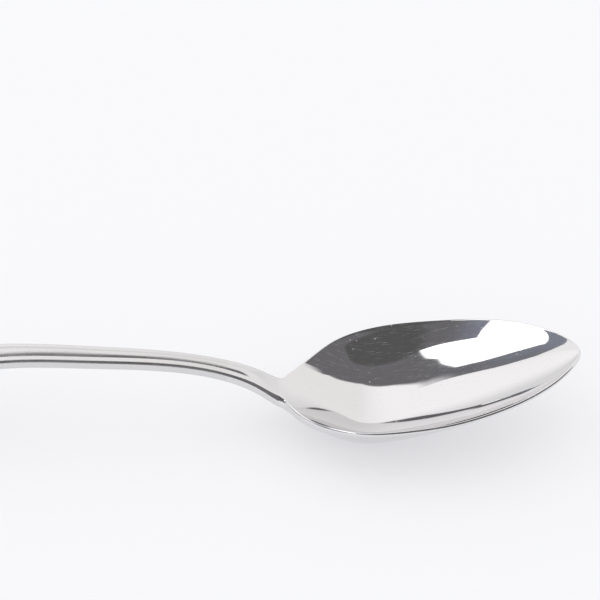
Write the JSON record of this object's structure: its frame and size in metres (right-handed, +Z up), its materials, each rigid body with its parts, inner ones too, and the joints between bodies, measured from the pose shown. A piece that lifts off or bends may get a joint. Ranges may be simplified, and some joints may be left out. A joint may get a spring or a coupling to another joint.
{
  "type": "teaspoon",
  "caption": "One-piece polished steel teaspoon with an oval bowl, an arched stem with ledged edges and a flared handle end.",
  "frame": {"origin": "on the table, half way along the spoon and half way across it", "axes": "+X along the spoon from the end of the handle to the tip of the bowl, +Y across it, +Z up out of the open side of the bowl"},
  "size_m": [0.1394, 0.03, 0.0151],
  "materials": {
    "bowl_steel": "mirror polished stainless steel with fine wear scratches",
    "neck_steel": "polished stainless steel, slightly rougher by the shoulder",
    "handle_steel": "polished stainless steel"
  },
  "bodies": {
    "root": {"handle_end": "handle_steel", "stem": "handle_steel", "neck": "neck_steel", "bowl": "bowl_steel"}
  },
  "joints": []
}
